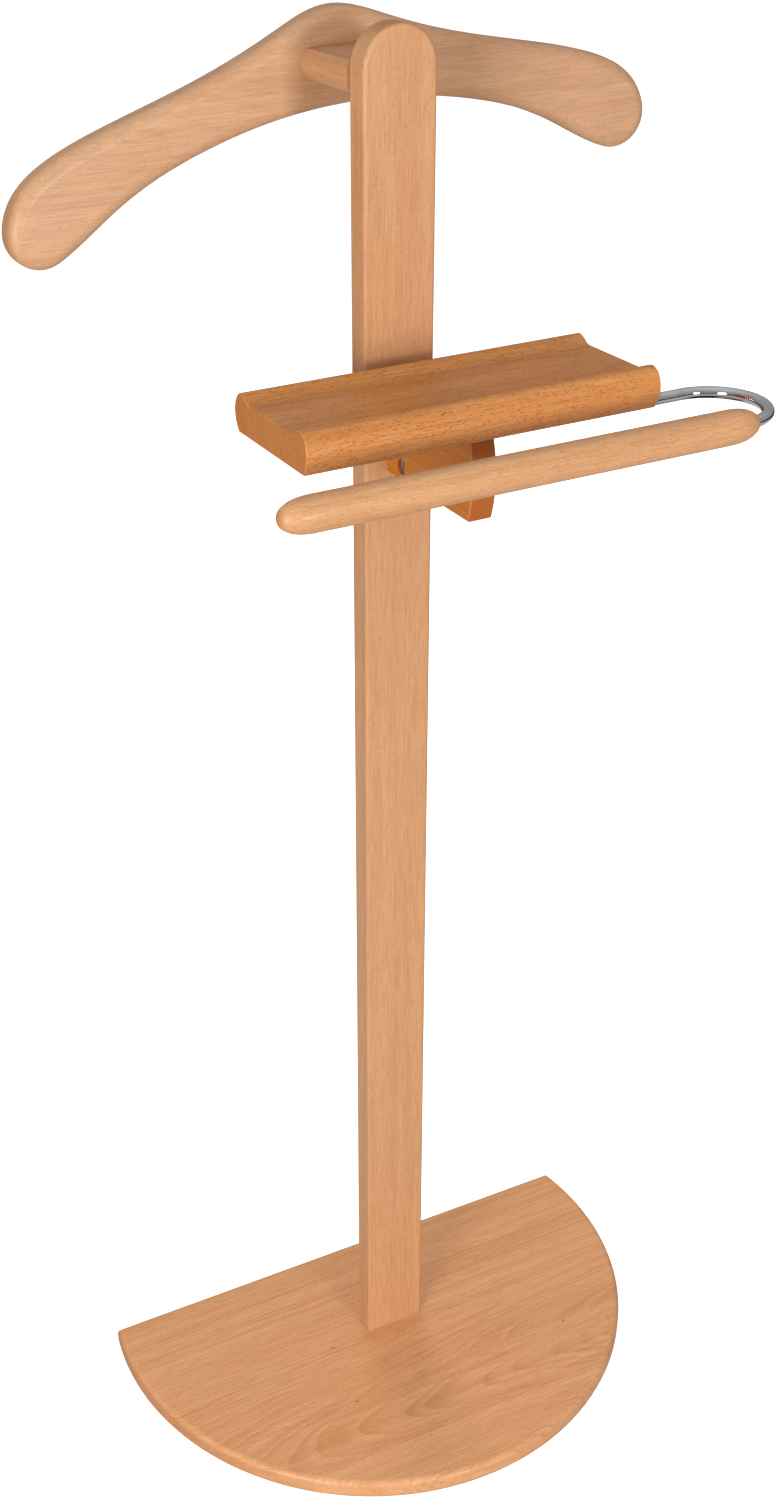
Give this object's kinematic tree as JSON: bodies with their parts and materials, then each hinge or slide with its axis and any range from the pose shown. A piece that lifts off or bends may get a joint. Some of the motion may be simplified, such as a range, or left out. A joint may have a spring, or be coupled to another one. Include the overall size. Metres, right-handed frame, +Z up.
{
  "type": "valet stand",
  "caption": "Free-standing wooden valet stand: half-round base, flat post, coat hanger, open tray on a bracket and a trouser bar on a bent chrome rod.",
  "frame": {"origin": "on the floor, at the middle of the base board's footprint", "axes": "+Z up, +Y towards the back where the hanger is, -Y the front with the tray and trouser bar, +X the side that the chrome rod bends round on"},
  "size_m": [0.4766, 0.273, 1.0966],
  "materials": {
    "base_wood": "satin lacquered beech panel glued up from staves",
    "post_wood": "satin lacquered beech",
    "hanger_wood": "satin lacquered beech",
    "tray_wood": "satin lacquered beech, darker and redder",
    "bar_wood": "satin lacquered turned beech",
    "dowel_wood": "plain beech dowel pin",
    "rod_chrome": "bright chrome plating",
    "plated_steel": "zinc plated steel"
  },
  "bodies": {
    "stand": {"base_board": "base_wood", "post": "post_wood", "spacer_block": "post_wood", "tray": "tray_wood", "tray_bracket": "tray_wood", "barrel_nut": "plated_steel", "trouser_rod": "rod_chrome", "trouser_bar": "bar_wood", "base_screws": "plated_steel", "base_dowel": "dowel_wood", "bracket_bolt": "plated_steel", "bracket_dowel": "dowel_wood", "tray_screws": "plated_steel", "post_insert": "plated_steel", "spacer_dowels": "dowel_wood", "hanger_bolt": "plated_steel", "hanger_washer": "plated_steel"},
    "hanger": {"hanger": "hanger_wood"}
  },
  "joints": [
    {"name": "hanger_turn", "type": "hinge", "parent": "stand", "child": "hanger", "pos_m": [0, 0.125, 1.0635], "axis": [0, -1, 0], "range_deg": [-13.75, 6.25]}
  ]
}
